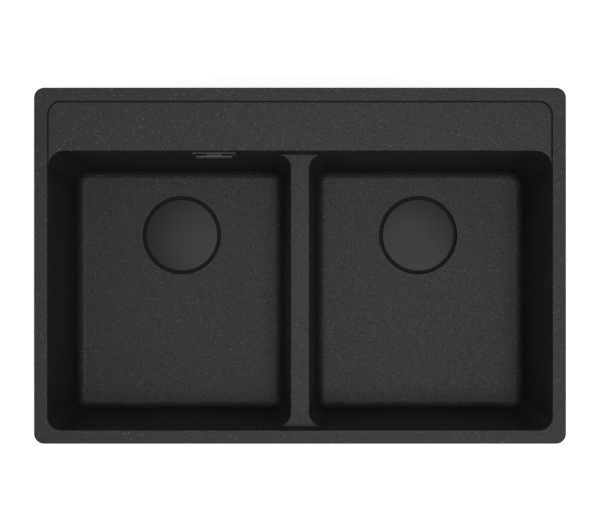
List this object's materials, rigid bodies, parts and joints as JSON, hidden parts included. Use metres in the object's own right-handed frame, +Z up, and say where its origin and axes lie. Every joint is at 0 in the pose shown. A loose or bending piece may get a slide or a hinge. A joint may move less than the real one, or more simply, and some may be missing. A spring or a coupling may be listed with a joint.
{
  "type": "double bowl kitchen sink",
  "caption": "Drop-in composite kitchen sink with two equal bowls, a low divider, a sunk tap deck, covered basket strainers and an overflow.",
  "frame": {"origin": "middle of the worktop cut-out, on the plane of the worktop's top face, which is the underside of the rim", "axes": "+X to the right along the sink's length, +Y to the rear where the tap deck is, +Z up out of the bowls"},
  "size_m": [0.838, 0.561, 0.4235],
  "materials": {
    "composite": "matt black with fine grey speckle",
    "coated_metal": "satin dark coating",
    "steel": "brushed",
    "brass": "turned",
    "rubber": "matt",
    "seal_strip": "matt foam rubber",
    "black_plastic": "moulded, matt",
    "pipe_plastic": "extruded, satin"
  },
  "bodies": {
    "sink": {"sink_body_rim": "composite", "sink_body_skirt": "composite", "sink_body_divider": "composite", "sink_body_left_side": "composite", "sink_body_right_side": "composite", "sink_body_left_front": "composite", "sink_body_right_front": "composite", "sink_body_left_rear": "composite", "sink_body_right_rear": "composite", "sink_body_left_floor": "composite", "sink_body_right_floor": "composite", "rim_seal": "seal_strip", "clamp_washers": "steel", "clamp_screws": "steel", "clamp_inserts": "brass", "overflow_cover": "coated_metal", "overflow_screw": "coated_metal", "overflow_gasket": "rubber", "overflow_head": "black_plastic", "overflow_pipe": "pipe_plastic", "hose_clips": "steel", "left_cup_gasket": "rubber", "left_strainer_cup": "steel", "left_housing_gasket": "rubber", "left_waste_screw": "steel", "left_waste_nut": "brass", "left_union_nut": "black_plastic", "left_outlet_washer": "rubber", "left_tailpiece": "pipe_plastic", "left_waste_housing": "black_plastic", "right_cup_gasket": "rubber", "right_strainer_cup": "steel", "right_housing_gasket": "rubber", "right_waste_screw": "steel", "right_waste_nut": "brass", "right_union_nut": "black_plastic", "right_outlet_washer": "rubber", "right_tailpiece": "pipe_plastic", "right_waste_housing": "black_plastic"},
    "left_basket_unit": {"left_basket": "steel", "left_basket_seal": "rubber", "left_basket_knob": "steel"},
    "left_cover_unit": {"left_drain_cover": "coated_metal", "left_cover_socket": "black_plastic"},
    "right_basket_unit": {"right_basket": "steel", "right_basket_seal": "rubber", "right_basket_knob": "steel"},
    "right_cover_unit": {"right_drain_cover": "coated_metal", "right_cover_socket": "black_plastic"},
    "clamp_left_front_strap": {"clamp_left_front": "steel"},
    "clamp_left_rear_strap": {"clamp_left_rear": "steel"},
    "clamp_right_front_strap": {"clamp_right_front": "steel"},
    "clamp_right_rear_strap": {"clamp_right_rear": "steel"},
    "clamp_front_left_strap": {"clamp_front_left": "steel"},
    "clamp_front_right_strap": {"clamp_front_right": "steel"},
    "clamp_rear_left_strap": {"clamp_rear_left": "steel"},
    "clamp_rear_right_strap": {"clamp_rear_right": "steel"}
  },
  "joints": [
    {"name": "left_basket_lift", "type": "slide", "parent": "sink", "child": "left_basket_unit", "axis": [0, 0, 1], "range_m": [0, 0.26]},
    {"name": "left_cover_lift", "type": "slide", "parent": "left_basket_unit", "child": "left_cover_unit", "axis": [0, 0, 1], "range_m": [0, 0.26]},
    {"name": "right_basket_lift", "type": "slide", "parent": "sink", "child": "right_basket_unit", "axis": [0, 0, 1], "range_m": [0, 0.26]},
    {"name": "right_cover_lift", "type": "slide", "parent": "right_basket_unit", "child": "right_cover_unit", "axis": [0, 0, 1], "range_m": [0, 0.26]},
    {"name": "clamp_left_front_slide", "type": "slide", "parent": "sink", "child": "clamp_left_front_strap", "axis": [0, 0, 1], "range_m": [-0.008, 0.008]},
    {"name": "clamp_left_rear_slide", "type": "slide", "parent": "sink", "child": "clamp_left_rear_strap", "axis": [0, 0, 1], "range_m": [-0.008, 0.008]},
    {"name": "clamp_right_front_slide", "type": "slide", "parent": "sink", "child": "clamp_right_front_strap", "axis": [0, 0, 1], "range_m": [-0.008, 0.008]},
    {"name": "clamp_right_rear_slide", "type": "slide", "parent": "sink", "child": "clamp_right_rear_strap", "axis": [0, 0, 1], "range_m": [-0.008, 0.008]},
    {"name": "clamp_front_left_slide", "type": "slide", "parent": "sink", "child": "clamp_front_left_strap", "axis": [0, 0, 1], "range_m": [-0.008, 0.008]},
    {"name": "clamp_front_right_slide", "type": "slide", "parent": "sink", "child": "clamp_front_right_strap", "axis": [0, 0, 1], "range_m": [-0.008, 0.008]},
    {"name": "clamp_rear_left_slide", "type": "slide", "parent": "sink", "child": "clamp_rear_left_strap", "axis": [0, 0, 1], "range_m": [-0.008, 0.008]},
    {"name": "clamp_rear_right_slide", "type": "slide", "parent": "sink", "child": "clamp_rear_right_strap", "axis": [0, 0, 1], "range_m": [-0.008, 0.008]}
  ]
}
